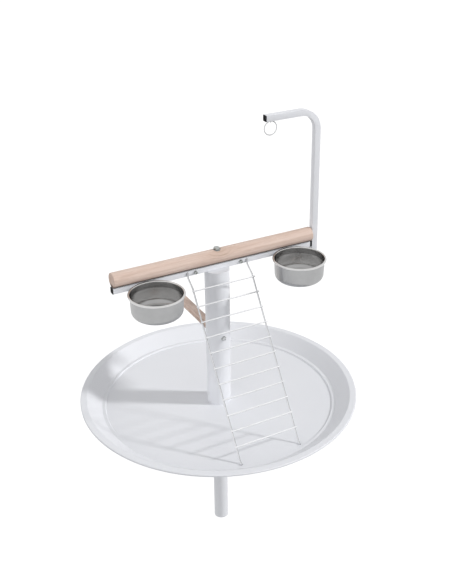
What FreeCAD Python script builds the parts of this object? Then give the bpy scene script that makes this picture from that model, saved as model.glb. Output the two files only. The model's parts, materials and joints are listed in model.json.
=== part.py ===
import FreeCAD
import Part
import math
import os
import Sketcher

# Parrot play stand top: a tray on a pole, a tube that carries a square crossbar
# with a wooden perch, two bowls, a hung wire ladder and a toy hanger.
# Millimetres. +X runs along the crossbar towards the hanger, +Y to the back,
# +Z up. The origin is the centre of the pole's lower end.

doc = FreeCAD.newDocument("parrot_play_stand")
sizes = doc.addObject("Spreadsheet::Sheet", "sizes")

DRIVING = {
    # pole and its fixing to the tray
    "pole_radius": 16.0,
    "pole_wall": 1.5,
    "pole_spigot": 60.0,
    "flange_radius": 55.0,
    "flange_thickness": 3.0,
    "tray_screw_radius": 2.5,
    "tray_screw_head_radius": 3.9,
    "tray_screw_head_height": 2.8,
    # tray
    "tray_rim_height": 350.0,
    "tray_radius": 300.0,
    "tray_lip_width": 14.0,
    "tray_depth": 26.0,
    "tray_wall_run": 31.0,
    "tray_step_run": 8.5,
    "tray_step_depth": 3.0,
    "tray_step_slope_run": 2.0,
    "tray_sheet": 1.2,
    "tray_hem_drop": 4.0,
    "tray_bend_radius": 2.5,
    "tray_edge_radius": 1.8,
    # main tube
    "tube_radius": 26.0,
    "tube_wall": 1.5,
    "tube_height": 320.0,
    "top_plate_thickness": 3.0,
    "base_plate_thickness": 6.0,
    "bush_length": 14.0,
    "bush_below_pole_top": 4.0,
    # square tube shared by the crossbar and the hanger
    "bar_size": 12.7,
    "bar_wall": 1.2,
    "bar_corner_radius": 1.4,
    "bar_left_reach": 230.0,
    "cap_flange": 1.2,
    "cap_plug_length": 8.0,
    # perch and its bolt
    "perch_radius": 15.5,
    "perch_left_reach": 229.0,
    "perch_right_reach": 224.5,
    "perch_end_round": 1.5,
    "perch_bolt_radius": 4.0,
    "perch_bolt_head_across": 12.0,
    "perch_bolt_head_height": 4.7,
    "perch_seat_depth": 2.4,
    "perch_washer_radius": 7.9,
    "perch_washer_thickness": 1.6,
    "perch_nut_height": 6.5,
    # hanger
    "hanger_face": 227.2,
    "hanger_foot_drop": 30.0,
    "hanger_rise": 294.5,
    "hanger_bend_radius": 40.0,
    "hanger_tip_reach": 111.2,
    "insert_flange": 5.0,
    "insert_plug_length": 25.0,
    "hanger_bolt_radius": 3.0,
    "hanger_bolt_head_radius": 4.6,
    "hanger_bolt_head_height": 1.0,
    "hanger_bolt_reach": 18.0,
    # toy ring and the eye it hangs in
    "ring_radius": 14.2,
    "ring_wire_radius": 1.0,
    "ring_from_tip": 13.3,
    "eye_wire_radius": 0.8,
    # crossbar screws beside the ladder hooks
    "stop_screw_offset": 52.0,
    "stop_screw_radius": 2.5,
    "stop_screw_head_radius": 3.6,
    "stop_screw_head_height": 5.0,
    "stop_nut_across": 8.0,
    "stop_nut_height": 4.0,
    # bowls
    "bowl_left_offset": 162.8,
    "bowl_right_offset": 159.9,
    "bowl_radius": 52.0,
    "bowl_taper": 1.2,
    "bowl_depth": 47.6,
    "bowl_corner_radius": 13.0,
    "bowl_sheet": 0.8,
    "bowl_bead_radius": 2.3,
    "bowl_rim_above_bar_top": 0.4,
    "bowl_bar_gap": 0.65,
    "stud_radius": 3.0,
    "stud_boss_radius": 4.5,
    "stud_tail": 3.0,
    "washer_radius": 6.5,
    "washer_thickness": 1.2,
    "wing_hub_radius": 5.2,
    "wing_hub_length": 7.5,
    "wing_span_radius": 11.5,
    "wing_thickness": 2.2,
    "wing_start": 5.5,
    "wing_rise": 6.5,
    "wing_root_inset": 1.0,
    "wing_root_depth": 3.0,
    "wing_tip_width": 3.5,
    # ladder
    "ladder_offset": 1.9,
    "ladder_half_width": 68.0,
    "rail_radius": 1.6,
    "rung_radius": 1.4,
    "rung_overhang": 3.6,
    "rung_count": 11.0,
    "ladder_slope": 57.0,
    "first_rung_forward": 33.1,
    "first_rung_drop": 21.3,
    "last_rung_lift": 27.6,
    "rail_lead": 6.0,
    "hook_standoff": 1.1,
    "hook_reach": 4.0,
    "hook_slot_half_width": 1.9,
    "hook_slot_half_height": 4.4,
    "hook_bend_radius": 2.4,
    "rail_bend_radius": 8.0,
    "toe_length": 6.0,
    # back perch
    "back_perch_radius": 11.0,
    "back_perch_length": 200.0,
    "back_perch_height": 166.0,
    "back_screw_radius": 3.0,
    "back_screw_head_radius": 4.2,
    "back_screw_head_height": 3.6,
    "back_screw_bite": 45.0,
    "back_washer_radius": 5.2,
    "back_washer_thickness": 1.2,
    # clearances
    "press_gap": 0.1,
    "running_gap": 0.08,
    "seat_gap": 0.05,
    "free_gap": 0.3,
    "hole_gap": 0.3,
}

DERIVED = {
    "floor_height": "tray_rim_height - tray_depth",
    "tray_underside": "floor_height - tray_sheet",
    "pole_top": "floor_height + pole_spigot",
    "flange_base": "tray_underside - flange_thickness",
    "pole_bore": "pole_radius - pole_wall",
    "lip_radius": "tray_radius - tray_lip_width",
    "ledge_radius": "lip_radius - tray_wall_run",
    "ledge_height": "floor_height + tray_step_depth",
    "step_radius": "ledge_radius - tray_step_run",
    "tray_hole": "pole_radius + hole_gap",
    "tube_bore": "tube_radius - tube_wall",
    "tube_top": "floor_height + tube_height",
    "top_plate_base": "tube_top - top_plate_thickness",
    "screw_circle": "(pole_radius + tube_bore) / 2",
    "bar_half": "bar_size / 2",
    "bar_bore": "bar_size - 2 * bar_wall",
    "bar_middle": "tube_top + bar_half",
    "bar_top": "tube_top + bar_size",
    "bar_start": "-(bar_left_reach - cap_flange)",
    "bar_end": "hanger_face - insert_flange",
    "bar_length": "bar_end - bar_start",
    "perch_height": "bar_top + perch_radius + seat_gap",
    "perch_length": "perch_left_reach + perch_right_reach",
    "perch_seat": "perch_height + perch_radius - perch_seat_depth",
    "perch_head_base": "perch_seat + perch_washer_thickness",
    "perch_bolt_length": "perch_head_base - top_plate_base + perch_nut_height",
    "hanger_middle": "hanger_face + bar_half",
    "hanger_foot": "bar_middle - hanger_foot_drop",
    "arm_middle": "bar_top + hanger_rise - bar_half",
    "arm_base": "arm_middle - bar_half",
    "arm_start": "hanger_tip_reach + cap_flange",
    "ring_x": "hanger_tip_reach + ring_from_tip",
    "ring_top": "arm_base - free_gap - ring_wire_radius",
    "eye_radius": "ring_wire_radius + free_gap + eye_wire_radius",
    "bowl_rim": "bar_top + bowl_rim_above_bar_top",
    "bowl_bead_middle": "bowl_radius - bowl_sheet / 2 + bowl_bead_radius",
    "bowl_bead_reach": "bowl_bead_middle + bowl_bead_radius",
    "bowl_y": "-(bar_half + bowl_bar_gap + bowl_bead_reach)",
    "stud_start": "bowl_y + bowl_radius - bowl_sheet / 2",
    "nut_start": "bar_half + seat_gap + washer_thickness + seat_gap",
    "stud_end": "nut_start + wing_hub_length + stud_tail",
    "wing_root": "wing_hub_radius - wing_root_inset",
    "wing_top": "wing_start + wing_rise",
    "hook_line": "-(bar_half + hook_standoff + rail_radius)",
    "hook_height": "bar_middle + hook_slot_half_height - hook_slot_half_width",
    "hook_end": "-(bar_half - hook_reach)",
    "slope_run": "cos(ladder_slope * 1deg)",
    "slope_drop": "sin(ladder_slope * 1deg)",
    "toe_height": "floor_height + free_gap + rail_radius",
    "first_rung_height": "tube_top - first_rung_drop",
    "rung_fall": "first_rung_height - toe_height - last_rung_lift",
    "rung_pitch": "rung_fall / ((rung_count - 1) * slope_drop)",
    "bend_forward": "first_rung_forward - rail_lead * slope_run",
    "bend_height": "first_rung_height + rail_lead * slope_drop",
    "heel_forward":
        "first_rung_forward + (first_rung_height - toe_height) * slope_run / slope_drop",
    "rung_lift": "rail_radius + rung_radius + seat_gap",
    "back_perch_middle": "floor_height + back_perch_height",
}

for row, (alias, value) in enumerate(DRIVING.items(), 1):
    sizes.set("A%d" % row, alias.replace("_", " "))
    sizes.set("B%d" % row, str(value))
    sizes.setAlias("B%d" % row, alias)
for row, (alias, formula) in enumerate(DERIVED.items(), 1):
    sizes.set("D%d" % row, alias.replace("_", " "))
    sizes.set("E%d" % row, "=" + formula)
    sizes.setAlias("E%d" % row, alias)
doc.recompute()

WORDS = sorted(list(DRIVING) + list(DERIVED), key=len, reverse=True)
ORIGIN = (-1, 1)
nodes = []


def bound(formula):
    """Point every size word of a formula at its cell in the sheet."""
    out = ""
    word = ""
    for mark in formula + " ":
        if mark.isalnum() or mark == "_":
            word += mark
            continue
        out += "sizes." + word if word in WORDS else word
        out += mark
        word = ""
    return out.strip()


def size(formula):
    """The present value of a formula of sizes, in millimetres."""
    value = sizes.evalExpression(bound(formula))
    return float(getattr(value, "Value", value))


def bind(thing, path, formula):
    thing.setExpression(path, bound(formula))


def place(thing, x="0", y="0", z="0", axis=None, angle=0.0):
    """Turn a piece about an axis through its own origin, then move it there."""
    turn = FreeCAD.Rotation(FreeCAD.Vector(*(axis or (0, 0, 1))), angle)
    spot = FreeCAD.Vector(size(x), size(y), size(z))
    thing.Placement = FreeCAD.Placement(spot, turn)
    for letter, formula in zip("xyz", (x, y, z)):
        bind(thing, "Placement.Base." + letter, formula)


def node(thing, name):
    """Keep a finished piece as a node of the model under its name."""
    thing.Label = name
    nodes.append(thing)
    return thing


# ---------------------------------------------------------------- sketches

def new_body(name):
    return doc.addObject("PartDesign::Body", name + "_body")


def new_sketch(body, role, offset=None):
    sketch = body.newObject("Sketcher::SketchObject", "profile")
    plane = next(f for f in body.Origin.OriginFeatures if f.Role == role)
    sketch.AttachmentSupport = [(plane, "")]
    sketch.MapMode = "FlatFace"
    if offset:
        bind(sketch, "AttachmentOffset.Base.z", offset)
    return sketch


def hold(sketch, geo, point, across, up):
    """Tie a point of the sketch to its place, measured from the origin."""
    for kind, formula in (("DistanceX", across), ("DistanceY", up)):
        number = sketch.addConstraint(
            Sketcher.Constraint(kind, *ORIGIN, geo, point, size(formula)))
        bind(sketch, "Constraints[%d]" % number, formula)


def draw_circle(sketch, radius, across="0", up="0"):
    middle = FreeCAD.Vector(size(across), size(up), 0)
    geo = sketch.addGeometry(
        Part.Circle(middle, FreeCAD.Vector(0, 0, 1), size(radius)), False)
    hold(sketch, geo, 3, across, up)
    number = sketch.addConstraint(Sketcher.Constraint("Radius", geo, size(radius)))
    bind(sketch, "Constraints[%d]" % number, radius)


def draw_outline(sketch, corners):
    """A closed outline of straight edges through the named corners."""
    spots = [FreeCAD.Vector(size(x), size(y), 0) for x, y in corners]
    count = len(spots)
    edges = [sketch.addGeometry(Part.LineSegment(spots[i], spots[(i + 1) % count]), False)
             for i in range(count)]
    for i, edge in enumerate(edges):
        following = edges[(i + 1) % count]
        sketch.addConstraint(Sketcher.Constraint("Coincident", edge, 2, following, 1))
        hold(sketch, edge, 1, *corners[i])


def draw_square(sketch, side, across="0", up="0"):
    half = "(%s) / 2" % side
    corners = []
    for along, high in (("-", "-"), ("+", "-"), ("+", "+"), ("-", "+")):
        corners.append(("%s %s %s" % (across, along, half),
                        "%s %s %s" % (up, high, half)))
    draw_outline(sketch, corners)


def draw_bent_path(sketch, corners, radii):
    """An open path of straight runs, rounded at each inner corner."""
    spots = [FreeCAD.Vector(size(x), size(y), 0) for x, y in corners]
    starts = [spots[0]]
    ends = []
    arcs = []
    for i, radius in enumerate(radii, 1):
        inward = (spots[i - 1] - spots[i]).normalize()
        outward = (spots[i + 1] - spots[i]).normalize()
        half_turn = inward.getAngle(outward) / 2
        trim = size(radius) / math.tan(half_turn)
        middle = spots[i] + (inward + outward).normalize() * (size(radius) / math.sin(half_turn))
        first = spots[i] + inward * trim
        last = spots[i] + outward * trim
        top = middle + (spots[i] - middle).normalize() * size(radius)
        arcs.append(Part.Arc(first, top, last))
        ends.append(first)
        starts.append(last)
    ends.append(spots[-1])
    lines = [sketch.addGeometry(Part.LineSegment(a, b), False) for a, b in zip(starts, ends)]
    hold(sketch, lines[0], 1, *corners[0])
    hold(sketch, lines[-1], 2, *corners[-1])
    for i, arc in enumerate(arcs):
        bend = sketch.addGeometry(arc, False)
        near = sketch.getPoint(bend, 1).distanceToPoint(ends[i]) < 1e-6
        before, after = (1, 2) if near else (2, 1)
        sketch.addConstraint(Sketcher.Constraint("Tangent", lines[i], 2, bend, before))
        sketch.addConstraint(Sketcher.Constraint("Tangent", lines[i + 1], 1, bend, after))
        number = sketch.addConstraint(Sketcher.Constraint("Radius", bend, size(radii[i])))
        bind(sketch, "Constraints[%d]" % number, radii[i])
        corner = sketch.addGeometry(Part.Point(spots[i + 1]), True)
        sketch.addConstraint(Sketcher.Constraint("PointOnObject", corner, 1, lines[i]))
        sketch.addConstraint(Sketcher.Constraint("PointOnObject", corner, 1, lines[i + 1]))
        hold(sketch, corner, 1, *corners[i + 1])


# ---------------------------------------------------------------- features

def pad(body, sketch, length):
    feature = body.newObject("PartDesign::Pad", "pad")
    feature.Profile = sketch
    bind(feature, "Length", length)
    return feature


def pocket(body, sketch, length):
    """Cut along the side of the sketch that its own Reversed flag keeps."""
    feature = body.newObject("PartDesign::Pocket", "pocket")
    feature.Profile = sketch
    bind(feature, "Length", length)
    return feature


def revolve(body, sketch, subtract=False):
    kind = "PartDesign::Groove" if subtract else "PartDesign::Revolution"
    feature = body.newObject(kind, "turned")
    feature.Profile = sketch
    feature.ReferenceAxis = (sketch, ["V_Axis"])
    feature.Angle = 360.0
    return feature


def sweep(body, section, path):
    feature = body.newObject("PartDesign::AdditivePipe", "bent")
    feature.Profile = section
    feature.Spine = path
    return feature


def ring_edges(shape, radius, height):
    """Names of the round edges about the upright axis at a radius and height."""
    found = []
    for number, edge in enumerate(shape.Edges, 1):
        curve = edge.Curve
        if not isinstance(curve, Part.Circle):
            continue
        if abs(curve.Radius - radius) < 0.01 and abs(curve.Center.z - height) < 0.01:
            found.append("Edge%d" % number)
    return found


def soften(body, base, edges, radius):
    """Round the named edges of the last feature of a body."""
    if not edges:
        raise RuntimeError(body.Name + ": no edge to round")
    feature = body.newObject("PartDesign::Fillet", "softened")
    feature.Base = (base, edges)
    bind(feature, "Radius", radius)
    doc.recompute()
    return feature


def cylinder(name, radius, height):
    solid = doc.addObject("Part::Cylinder", name)
    bind(solid, "Radius", radius)
    bind(solid, "Height", height)
    return solid


def tube(name, outer, inner, height, base="0"):
    """A round tube or washer that stands on a height."""
    body = new_body(name)
    sketch = new_sketch(body, "XY_Plane")
    draw_circle(sketch, outer)
    draw_circle(sketch, inner)
    pad(body, sketch, height)
    place(body, z=base)
    return body


def hex_prism(name, across, height):
    prism = doc.addObject("Part::Prism", name)
    prism.Polygon = 6
    bind(prism, "Circumradius", "(%s) / 1.7320508" % across)
    bind(prism, "Height", height)
    return prism


def join(name, *pieces):
    solid = doc.addObject("Part::MultiFuse", name)
    solid.Shapes = list(pieces)
    return solid


def cut(name, whole, tool):
    solid = doc.addObject("Part::Cut", name)
    solid.Base = whole
    solid.Tool = tool
    return solid


def group(name, pieces):
    """Alike pieces that share one node, each a solid of its own."""
    compound = doc.addObject("Part::Compound", name)
    compound.Links = pieces
    return compound


# ---------------------------------------------------------------- pole and tray

def make_pole():
    pole = tube("pole", "pole_radius", "pole_bore", "pole_top")
    node(pole, "pole")
    flange = new_body("tray_flange")
    sketch = new_sketch(flange, "XY_Plane")
    draw_circle(sketch, "flange_radius")
    draw_circle(sketch, "pole_radius + seat_gap")
    for across, up in SCREW_SPOTS:
        draw_circle(sketch, "tray_screw_radius + hole_gap", across, up)
    pad(flange, sketch, "flange_thickness")
    place(flange, z="flange_base")
    node(flange, "tray_flange")


SCREW_SPOTS = [("screw_circle * cos(%d * 1deg)" % turn, "screw_circle * sin(%d * 1deg)" % turn)
               for turn in (90, 210, 330)]


def tray_corner(radius, height, before, after):
    """The point under a corner of the tray's top, one sheet thickness away."""
    lean = "((%s + %s) / 2)" % (before, after)
    open_up = "cos((%s - %s) / 2)" % (before, after)
    return ("%s + tray_sheet * sin(%s) / %s" % (radius, lean, open_up),
            "%s - tray_sheet * cos(%s) / %s" % (height, lean, open_up))


def make_tray():
    level = "0deg"
    step_lean = "atan(tray_step_depth / tray_step_slope_run)"
    wall_lean = "atan((tray_depth - tray_step_depth) / tray_wall_run)"
    step_top = "step_radius + tray_step_slope_run"
    top = [("tray_hole", "floor_height"), ("step_radius", "floor_height"),
           (step_top, "ledge_height"), ("ledge_radius", "ledge_height"),
           ("lip_radius", "tray_rim_height"), ("tray_radius", "tray_rim_height")]
    hem = [("tray_radius", "tray_rim_height - tray_hem_drop"),
           ("tray_radius - tray_sheet", "tray_rim_height - tray_hem_drop"),
           ("tray_radius - tray_sheet", "tray_rim_height - tray_sheet")]
    under = [tray_corner("lip_radius", "tray_rim_height", wall_lean, level),
             tray_corner("ledge_radius", "ledge_height", level, wall_lean),
             tray_corner(step_top, "ledge_height", step_lean, level),
             tray_corner("step_radius", "floor_height", level, step_lean),
             ("tray_hole", "tray_underside")]
    tray = new_body("tray")
    sketch = new_sketch(tray, "XZ_Plane")
    draw_outline(sketch, top + hem + under)
    spun = revolve(tray, sketch)
    doc.recompute()
    crests = []
    for radius, height in (("lip_radius", "tray_rim_height"), ("ledge_radius", "ledge_height")):
        crests += ring_edges(spun.Shape, size(radius), size(height))
    bent = soften(tray, spun, crests, "tray_bend_radius")
    rim = ring_edges(bent.Shape, size("tray_radius"), size("tray_rim_height"))
    rolled = soften(tray, bent, rim, "tray_edge_radius")
    screw_holes = new_sketch(tray, "XY_Plane", "floor_height + free_gap")
    for across, up in SCREW_SPOTS:
        draw_circle(screw_holes, "tray_screw_radius + hole_gap", across, up)
    drilled = pocket(tray, screw_holes, "tray_sheet + 2 * free_gap")
    doc.recompute()
    if not drilled.Shape.Volume < rolled.Shape.Volume - 1:
        raise RuntimeError("the tray's screw holes cut nothing")
    node(tray, "tray")


def make_tray_screws():
    screws = []
    for number, (across, up) in enumerate(SCREW_SPOTS, 1):
        shank = cylinder("tray_shank_%d" % number, "tray_screw_radius",
                         "flange_thickness + tray_sheet + base_plate_thickness")
        head = cylinder("tray_head_%d" % number, "tray_screw_head_radius",
                        "tray_screw_head_height")
        place(head, z="-tray_screw_head_height")
        screw = join("tray_screw_%d" % number, shank, head)
        place(screw, across, up, "flange_base")
        screws.append(screw)
    node(group("tray_screws", screws), "tray_screws")


# ---------------------------------------------------------------- main tube

def make_tube():
    body = new_body("main_tube")
    sketch = new_sketch(body, "XY_Plane")
    draw_circle(sketch, "tube_radius")
    draw_circle(sketch, "tube_bore")
    pad(body, sketch, "top_plate_base - floor_height")
    bore = new_sketch(body, "XZ_Plane", "-(tube_radius + free_gap)")
    draw_circle(bore, "back_screw_radius + hole_gap", up="back_perch_height")
    drilled = pocket(body, bore, "2 * (tube_radius + free_gap)")
    drilled.Reversed = True
    place(body, z="floor_height")
    doc.recompute()
    node(body, "main_tube")

    plate = new_body("tube_top_plate")
    sketch = new_sketch(plate, "XY_Plane")
    draw_circle(sketch, "tube_radius")
    draw_circle(sketch, "perch_bolt_radius + hole_gap")
    pad(plate, sketch, "top_plate_thickness")
    place(plate, z="top_plate_base")
    node(plate, "tube_top_plate")

    foot = new_body("tube_base_plate")
    sketch = new_sketch(foot, "XY_Plane")
    draw_circle(sketch, "tube_bore - press_gap")
    draw_circle(sketch, "pole_radius + press_gap")
    for across, up in SCREW_SPOTS:
        draw_circle(sketch, "tray_screw_radius + press_gap", across, up)
    pad(foot, sketch, "base_plate_thickness")
    place(foot, z="floor_height")
    node(foot, "tube_base_plate")

    node(tube("pole_bush", "tube_bore - press_gap", "pole_radius + press_gap", "bush_length",
              "pole_top - bush_below_pole_top - bush_length"), "pole_bush")


# ---------------------------------------------------------------- crossbar and perch

def square_tube_section(body, role, offset=None, across="0", up="0"):
    """The hollow square section, drawn where the bar starts."""
    sketch = new_sketch(body, role, offset)
    draw_square(sketch, "bar_size", across, up)
    draw_square(sketch, "bar_bore", across, up)
    return sketch


def long_edges(shape, along, half, middle):
    """Names of a straight bar's four outer edges that run along one axis."""
    found = []
    for number, edge in enumerate(shape.Edges, 1):
        start, end = edge.Vertexes[0].Point, edge.Vertexes[-1].Point
        run = end - start
        if run.Length < 1 or abs(abs(run.normalize().dot(along)) - 1) > 1e-6:
            continue
        away = start - middle
        away -= along * away.dot(along)
        if abs(away.Length - half * math.sqrt(2)) < 0.01:
            found.append("Edge%d" % number)
    return found


def make_crossbar():
    body = new_body("crossbar")
    section = square_tube_section(body, "YZ_Plane", "bar_start")
    bar = pad(body, section, "bar_length")
    doc.recompute()
    edges = long_edges(bar.Shape, FreeCAD.Vector(1, 0, 0), size("bar_half"), FreeCAD.Vector())
    soften(body, bar, edges, "bar_corner_radius")

    upright = new_sketch(body, "XY_Plane", "-bar_size")
    draw_circle(upright, "perch_bolt_radius + hole_gap")
    pocket(body, upright, "2 * bar_size").Reversed = True

    through = new_sketch(body, "XZ_Plane", "-bar_size")
    for across in ("-stop_screw_offset", "stop_screw_offset"):
        draw_circle(through, "stop_screw_radius + running_gap", across)
    for across in ("-bowl_left_offset", "bowl_right_offset"):
        draw_circle(through, "stud_radius + running_gap", across)
    pocket(body, through, "2 * bar_size").Reversed = True

    slots = new_sketch(body, "XZ_Plane", "bar_size")
    for across in ("-ladder_offset - ladder_half_width", "-ladder_offset + ladder_half_width"):
        draw_slot(slots, across)
    pocket(body, slots, "bar_size")
    place(body, z="bar_middle")
    doc.recompute()
    node(body, "crossbar")


def draw_slot(sketch, across):
    """An upright slot with round ends, centred on the bar's face."""
    half_width = "hook_slot_half_width"
    straight = "(hook_slot_half_height - hook_slot_half_width)"
    x, w, s = size(across), size(half_width), size(straight)
    corner = {(i, j): FreeCAD.Vector(x + i * w, j * s, 0) for i in (-1, 1) for j in (-1, 1)}
    upper = Part.Arc(corner[1, 1], FreeCAD.Vector(x, s + w, 0), corner[-1, 1])
    lower = Part.Arc(corner[-1, -1], FreeCAD.Vector(x, -s - w, 0), corner[1, -1])
    left = sketch.addGeometry(Part.LineSegment(corner[-1, 1], corner[-1, -1]), False)
    right = sketch.addGeometry(Part.LineSegment(corner[1, -1], corner[1, 1]), False)
    top = sketch.addGeometry(upper, False)
    bottom = sketch.addGeometry(lower, False)
    for line, point, arc, end in ((right, 2, top, 1), (left, 1, top, 2),
                                  (left, 2, bottom, 1), (right, 1, bottom, 2)):
        sketch.addConstraint(Sketcher.Constraint("Tangent", line, point, arc, end))
    number = sketch.addConstraint(Sketcher.Constraint("Radius", top, w))
    bind(sketch, "Constraints[%d]" % number, half_width)
    hold(sketch, top, 3, across, straight)
    hold(sketch, bottom, 3, across, "-" + straight)


def square_plug(name, flange, plug, bore=None):
    """A push-in end piece: a square flange with a plug behind it, along +X."""
    body = new_body(name)
    face = new_sketch(body, "YZ_Plane")
    draw_square(face, "bar_size")
    if bore:
        draw_circle(face, bore)
    pad(body, face, flange)
    neck = new_sketch(body, "YZ_Plane", flange)
    draw_square(neck, "bar_bore - 2 * press_gap")
    if bore:
        draw_circle(neck, bore)
    pad(body, neck, plug)
    return body


def make_bar_ends():
    cap = square_plug("crossbar_end_cap", "cap_flange", "cap_plug_length")
    place(cap, x="-bar_left_reach", z="bar_middle")
    node(cap, "crossbar_end_cap")
    insert = square_plug("crossbar_insert", "insert_flange", "insert_plug_length",
                         "hanger_bolt_radius + press_gap")
    place(insert, x="hanger_face", z="bar_middle", axis=(0, 0, 1), angle=180.0)
    node(insert, "crossbar_insert")


def make_perch():
    body = new_body("perch")
    section = new_sketch(body, "YZ_Plane")
    draw_circle(section, "perch_radius")
    rod = pad(body, section, "perch_length")
    doc.recompute()
    ends = [("Edge%d" % number) for number, edge in enumerate(rod.Shape.Edges, 1)
            if isinstance(edge.Curve, Part.Circle)]
    soften(body, rod, ends, "perch_end_round")
    seat = new_sketch(body, "XY_Plane", "perch_radius + free_gap")
    draw_circle(seat, "perch_washer_radius + free_gap", "perch_left_reach")
    pocket(body, seat, "perch_seat_depth + free_gap")
    bore = new_sketch(body, "XY_Plane", "perch_radius + free_gap")
    draw_circle(bore, "perch_bolt_radius + hole_gap", "perch_left_reach")
    pocket(body, bore, "2 * (perch_radius + free_gap)")
    place(body, x="-perch_left_reach", z="perch_height")
    doc.recompute()
    node(body, "perch")


def make_perch_bolt():
    shank = cylinder("perch_bolt_shank", "perch_bolt_radius", "perch_bolt_length")
    place(shank, z="-perch_bolt_length")
    head = hex_prism("perch_bolt_head", "perch_bolt_head_across", "perch_bolt_head_height")
    bolt = join("perch_bolt", shank, head)
    place(bolt, z="perch_head_base")
    node(bolt, "perch_bolt")
    node(tube("perch_washer", "perch_washer_radius", "perch_bolt_radius + hole_gap",
              "perch_washer_thickness", "perch_seat"), "perch_washer")
    block = hex_prism("perch_nut_block", "perch_bolt_head_across", "perch_nut_height")
    hole = cylinder("perch_nut_hole", "perch_bolt_radius + press_gap", "perch_nut_height")
    nut = cut("perch_nut", block, hole)
    place(nut, z="top_plate_base - perch_nut_height")
    node(nut, "perch_nut")


def make_stop_screws():
    screws = []
    nuts = []
    for side, across in (("left", "-stop_screw_offset"), ("right", "stop_screw_offset")):
        shank = cylinder("stop_shank_" + side, "stop_screw_radius",
                         "bar_size + stop_nut_height + seat_gap + free_gap")
        head = cylinder("stop_head_" + side, "stop_screw_head_radius",
                        "stop_screw_head_height")
        place(head, z="-stop_screw_head_height")
        screw = join("stop_screw_" + side, shank, head)
        place(screw, across, "-bar_half", "bar_middle", (1, 0, 0), -90.0)
        screws.append(screw)
        block = hex_prism("stop_block_" + side, "stop_nut_across", "stop_nut_height")
        hole = cylinder("stop_hole_" + side, "stop_screw_radius + press_gap",
                        "stop_nut_height")
        nut = cut("stop_nut_" + side, block, hole)
        place(nut, across, "bar_half + seat_gap", "bar_middle", (1, 0, 0), -90.0)
        nuts.append(nut)
    node(group("stop_screws", screws), "stop_screws")
    node(group("stop_nuts", nuts), "stop_nuts")


# ---------------------------------------------------------------- hanger

def make_hanger():
    body = new_body("hanger")
    section = new_sketch(body, "XY_Plane", "hanger_foot")
    draw_square(section, "bar_size", "hanger_middle")
    draw_square(section, "bar_bore", "hanger_middle")
    path = new_sketch(body, "XZ_Plane")
    draw_bent_path(path, [("hanger_middle", "hanger_foot"), ("hanger_middle", "arm_middle"),
                          ("arm_start", "arm_middle")], ["hanger_bend_radius"])
    sweep(body, section, path)
    bore = new_sketch(body, "YZ_Plane", "hanger_face - bar_size")
    draw_circle(bore, "hanger_bolt_radius + hole_gap", up="bar_middle")
    pocket(body, bore, "3 * bar_size").Reversed = True
    doc.recompute()
    node(body, "hanger")

    tip = square_plug("hanger_tip_cap", "cap_flange", "cap_plug_length")
    place(tip, x="hanger_tip_reach", z="arm_middle")
    node(tip, "hanger_tip_cap")
    foot = square_plug("hanger_foot_cap", "cap_flange", "cap_plug_length")
    place(foot, x="hanger_middle", z="hanger_foot - cap_flange", axis=(0, 1, 0), angle=-90.0)
    node(foot, "hanger_foot_cap")


def make_hanger_bolt():
    shank = cylinder("hanger_bolt_shank", "hanger_bolt_radius",
                     "bar_size + insert_flange + hanger_bolt_reach")
    head = cylinder("hanger_bolt_head", "hanger_bolt_head_radius", "hanger_bolt_head_height")
    place(head, z="-hanger_bolt_head_height")
    bolt = join("hanger_bolt", shank, head)
    place(bolt, "hanger_face + bar_size + seat_gap", "0", "bar_middle", (0, 1, 0), -90.0)
    node(bolt, "hanger_bolt")


def make_toy_ring():
    ring = doc.addObject("Part::Torus", "toy_ring_wire")
    bind(ring, "Radius1", "ring_radius")
    bind(ring, "Radius2", "ring_wire_radius")
    place(ring, "ring_x", "0", "ring_top - ring_radius", (1, 0, 0), 90.0)
    node(ring, "toy_ring")

    eye = new_body("ring_eye")
    section = new_sketch(eye, "XY_Plane", "arm_base")
    draw_circle(section, "eye_wire_radius", "ring_x", "eye_radius")
    path = new_sketch(eye, "YZ_Plane", "ring_x")
    draw_staple(path)
    sweep(eye, section, path)
    doc.recompute()
    node(eye, "ring_eye")


def draw_staple(sketch):
    """Two short legs and the half round between them that holds the ring."""
    radius, high, low = size("eye_radius"), size("arm_base"), size("ring_top")
    legs = []
    for side in (1, -1):
        legs.append(sketch.addGeometry(Part.LineSegment(
            FreeCAD.Vector(side * radius, high, 0), FreeCAD.Vector(side * radius, low, 0)), False))
    curve = sketch.addGeometry(Part.Arc(
        FreeCAD.Vector(-radius, low, 0), FreeCAD.Vector(0, low - radius, 0),
        FreeCAD.Vector(radius, low, 0)), False)
    sketch.addConstraint(Sketcher.Constraint("Tangent", legs[0], 2, curve, 2))
    sketch.addConstraint(Sketcher.Constraint("Tangent", legs[1], 2, curve, 1))
    hold(sketch, legs[0], 1, "eye_radius", "arm_base")
    hold(sketch, legs[1], 1, "-eye_radius", "arm_base")
    hold(sketch, curve, 3, "0", "ring_top")


# ---------------------------------------------------------------- bowls

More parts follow.
